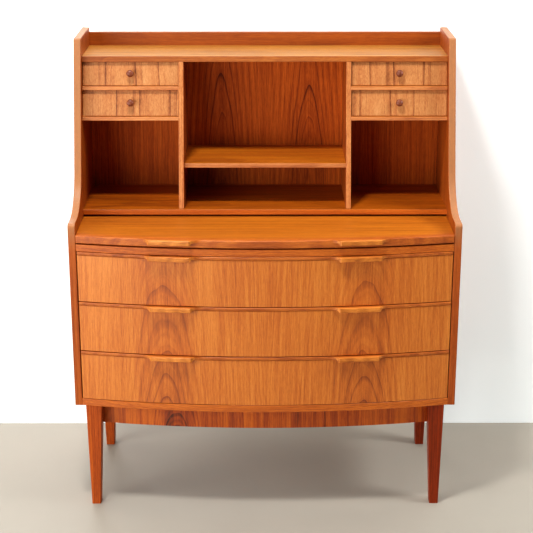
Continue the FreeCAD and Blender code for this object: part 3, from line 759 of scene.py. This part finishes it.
board_low, board_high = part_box("writing_board_edge")
slide_along_bow(grip, rise=board_high.z - strip_top)
piece = gripped_strip(
    "writing_board_lip", BOARD_EDGE_DEPTH, board_low.z, board_high.z, board_high.x, BOARD_EDGE_ROUNDS, grip
)
smooth(piece)
fit(piece, "writing_board", "solid_teak", board_edge, "writing_board_edge")
bpy.data.objects.remove(grip)

# ---------------------------------------------------------------- rail above the drawers
RAIL_DEPTH = 45 * MM
RAIL_ARRIS = 1.0 * MM
piece = bowed_band("rail_above_the_drawers", RAIL_DEPTH, rail_low.z, rail_high.z, inside, RAIL_ARRIS)
fit(piece, "carcase", "solid_teak", lippings, "front_rail")

# ---------------------------------------------------------------- knobs
KNOB_FACETS = 48
KNOB_RADIUS = 9.75 * MM
KNOB_LENGTH = 19 * MM
KNOB_FOOT = 0.64                 # share of the radius
KNOB_CROWN = 0.12                # the crown's middle is inset by this share of the radius
# Turned outline from the foot to the crown, as (share of the radius, share of the length).
KNOB_OUTLINE = (
    (0.56, 0.22), (0.70, 0.34), (0.94, 0.48), (1.0, 0.64), (0.92, 0.82), (0.66, 0.94), (0.30, 1.0),
)
HUTCH_LEAN = math.atan(0.2515)   # the hutch's front leans back by this


def turned_knob(name, foot):
    """Mushroom knob on a slim neck, square to the leaning drawer front."""
    radius = KNOB_FOOT * KNOB_RADIUS
    bpy.ops.object.select_all(action="DESELECT")
    bpy.ops.mesh.primitive_circle_add(vertices=KNOB_FACETS, radius=radius, fill_type="NGON")
    knob = bpy.context.object
    knob.name = name
    bpy.ops.object.mode_set(mode="EDIT")
    bpy.ops.mesh.select_all(action="SELECT")
    width, height = KNOB_FOOT, 0.0
    for next_width, next_height in KNOB_OUTLINE:
        rise = {"value": (0, 0, (next_height - height) * KNOB_LENGTH)}
        bpy.ops.mesh.extrude_region_move(TRANSFORM_OT_translate=rise)
        share = next_width / width
        middle = (0, 0, next_height * KNOB_LENGTH)
        bpy.ops.transform.resize(value=(share, share, 1), center_override=middle)
        width, height = next_width, next_height
    pick("FACE", lambda co: co.z > KNOB_LENGTH - CLOSE)
    bpy.ops.mesh.inset(thickness=KNOB_CROWN * KNOB_RADIUS)
    leave_edit()
    modify(knob, "SUBSURF", levels=1, render_levels=1)
    knob.rotation_euler = (math.pi / 2 - HUTCH_LEAN, 0, 0)
    knob.location = foot
    bpy.ops.object.transform_apply()
    smooth(knob, 60)
    return knob


for side in SIDES:
    for row in ROWS:
        body = f"small_drawer_{side}_{row}"
        low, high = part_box(body + "_front")
        face = low.y + math.tan(HUTCH_LEAN) * (high.z - low.z) / 2
        foot = Vector(((low.x + high.x) / 2, face, (low.z + high.z) / 2))
        fit(turned_knob(f"{side}_{row}_knob", foot), body, "knob_teak", knob_wood, body + "_knob")


# ---------------------------------------------------------------- floor and backdrop
FLOOR_SIZE = 16.0
BACKDROP_SIZE = 12.0
BACKDROP_GAP = 0.055             # clear of the desk's back
PAINT_MOTTLE = {"Scale": 3.0, "Detail": 4.0}
PAINT_SHADE = 0.94               # the darker patches of the paint, as a share of its colour
PAINT_RANGE = (0.3, 0.7)
FAR_FROM, FAR_FULL = 1.8, 5.0    # from the middle, where a far glow starts and where it is full


def stage_material(name, colour, roughness, glow_colour, glow=0.0, far_glow=None, clear_behind=False):
    """Dull paint, a little cloudy; a far glow keeps it pale out where the lights don't reach."""
    material, tree = new_material(name)
    place = add(tree, "TexCoord").outputs["Object"]
    tint = add(tree, "ValToRGB", {0: add(tree, "TexNoise", {"Vector": place, **PAINT_MOTTLE})})
    base = linear(colour)
    shade = [PAINT_SHADE * channel for channel in base[:3]] + [1.0]
    fill_ramp(tint, list(zip(PAINT_RANGE, (shade, base))))
    if far_glow:
        away = add(tree, "VectorMath", {0: place}, operation="LENGTH").outputs["Value"]
        away = {0: away, 1: FAR_FROM, 2: FAR_FULL, 3: glow, 4: far_glow}
        glow = add(tree, "MapRange", away, interpolation_type="SMOOTHSTEP")
    surface = add(tree, "BsdfPrincipled", {
        "Base Color": tint,
        "Roughness": roughness,
        "Emission Color": linear(glow_colour),
        "Emission Strength": glow,
    })
    if clear_behind:
        behind = add(tree, "NewGeometry").outputs["Backfacing"]
        clear = add(tree, "BsdfTransparent")
        surface = add(tree, "MixShader", {0: behind, 1: surface, 2: clear})
    add(tree, "OutputMaterial", {"Surface": surface})
    return material


def stage_plane(name, size, location, tilt, material):
    """Square of the studio, tilted up about X."""
    bpy.ops.object.select_all(action="DESELECT")
    bpy.ops.mesh.primitive_plane_add(size=size, location=location, rotation=(tilt, 0, 0))
    plane = bpy.context.object
    plane.name = name
    plane.data.materials.append(material)
    return plane


floor_paint = stage_material("pale_floor", "#A9A295", 0.6, "#D8D3C8", far_glow=0.55)
stage_plane("floor", FLOOR_SIZE, (0, 0, 0), 0, floor_paint)

# The backdrop stands close behind, is clear from its far side and lets the rear light through.
wall_paint = stage_material("white_backdrop", "#F4F3F0", 0.9, "#E2F1F2", glow=0.32, clear_behind=True)
wall_place = (0, cad_bounds[1].y + BACKDROP_GAP, BACKDROP_SIZE / 2)
backdrop = stage_plane("backdrop", BACKDROP_SIZE, wall_place, math.pi / 2, wall_paint)
backdrop.visible_shadow = False

# ---------------------------------------------------------------- lights
DESK_MIDDLE = (0, 0, 0.75)
# Name, size, watts, place, what it is aimed at, and colour.
LIGHTS = (
    ("overhead_softbox", 0.35, 64.0, (-0.50, -1.05, 3.7), DESK_MIDDLE, "#FFFFFF"),
    ("left_window", 1.5, 48.0, (-2.7, -1.55, 1.4), DESK_MIDDLE, "#FFFFFF"),
    ("front_softbox", 2.0, 55.0, (-2.1, -3.7, 1.0), DESK_MIDDLE, "#FFFFFF"),
    ("wall_wash", 0.8, 33.0, (2.1, -0.45, 2.0), (1.1, 0.3, 0.7), "#FAFCFF"),
    ("rear_softbox", 1.6, 30.0, (-1.0, 3.2, 1.1), (0, 0, 0.7), "#FFFFFF"),
)
for name, size, watts, location, aim, colour in LIGHTS:
    light = bpy.data.lights.new(name, "AREA")
    light.size = size
    light.energy = watts
    light.color = linear(colour)[:3]
    lamp = bpy.data.objects.new(name, light)
    bpy.context.scene.collection.objects.link(lamp)
    lamp.location = location
    lamp.rotation_euler = (Vector(aim) - Vector(location)).to_track_quat("-Z", "Y").to_euler()

# The room beyond the floor is seen pale, but gives no more light than the weak ambient.
world = bpy.data.worlds.new("studio")
bpy.context.scene.world = world
world.use_nodes = True
room = world.node_tree
room.nodes.clear()
ambient = add(room, "Background", {"Color": linear("#F2F4F8"), "Strength": 0.04})
beyond = add(room, "Background", {"Color": linear("#E4E1DA"), "Strength": 0.8})
seen = add(room, "LightPath").outputs["Is Camera Ray"]
add(room, "OutputWorld", {"Surface": add(room, "MixShader", {0: seen, 1: ambient, 2: beyond})})

bpy.context.scene.view_settings.view_transform = "Standard"
bpy.context.scene.view_settings.look = "Medium High Contrast"

# ---------------------------------------------------------------- camera
CAMERA_PLACE = (-0.0041, -3.6322, 1.8066)
CAMERA_DIP = 18.304              # degrees below level
CAMERA_TURN = -0.00228           # radians, to the right
CAMERA_LENS = 95.6
CAMERA_SENSOR = 36.0
camera = bpy.data.cameras.new("camera")
camera.sensor_width = CAMERA_SENSOR
camera.lens = CAMERA_LENS
viewer = bpy.data.objects.new("camera", camera)
bpy.context.scene.collection.objects.link(viewer)
viewer.location = CAMERA_PLACE
viewer.rotation_euler = (math.radians(90 - CAMERA_DIP), 0, CAMERA_TURN)
bpy.context.scene.camera = viewer
